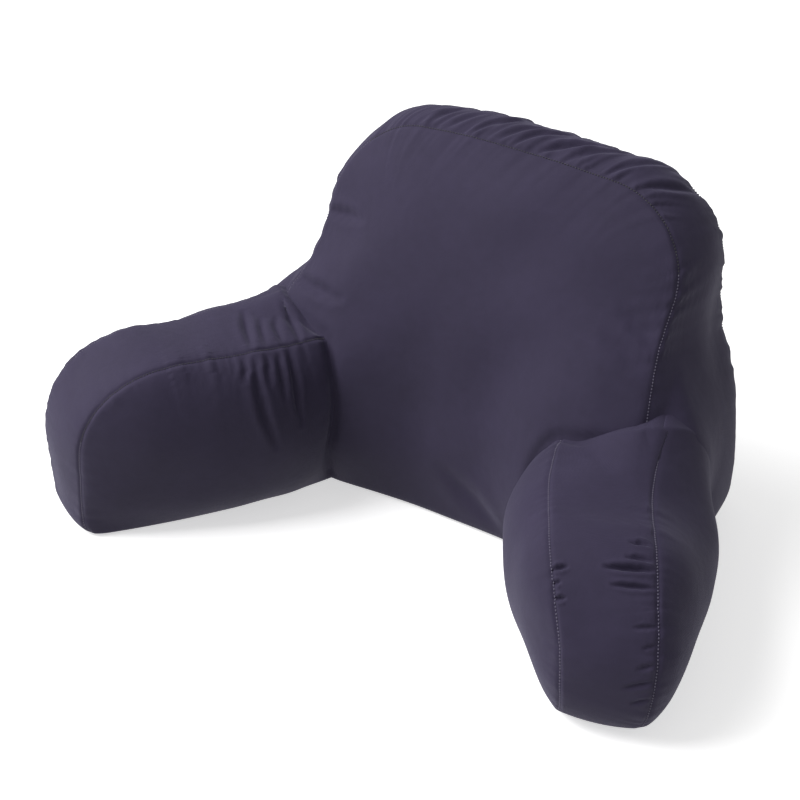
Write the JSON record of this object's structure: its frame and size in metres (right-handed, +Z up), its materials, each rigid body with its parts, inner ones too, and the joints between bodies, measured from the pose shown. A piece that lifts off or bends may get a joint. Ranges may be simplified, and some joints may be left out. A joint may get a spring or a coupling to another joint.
{
  "type": "backrest pillow",
  "caption": "Stuffed backrest pillow with a boxed, wedge-shaped back and a soft arm on each side, in a plain dark cotton cover.",
  "frame": {"origin": "on the floor, at the middle of the footprint's box", "axes": "+Z up, -Y is the sitter's side, towards which the arms reach, +X to the right when looking along +Y"},
  "size_m": [0.753, 0.4898, 0.4219],
  "materials": {
    "cotton_cover": "plain-woven dark violet-navy cotton, matt with a slight sheen"
  },
  "bodies": {
    "root": {"backrest": "cotton_cover", "arm_left": "cotton_cover", "arm_right": "cotton_cover"}
  },
  "joints": []
}
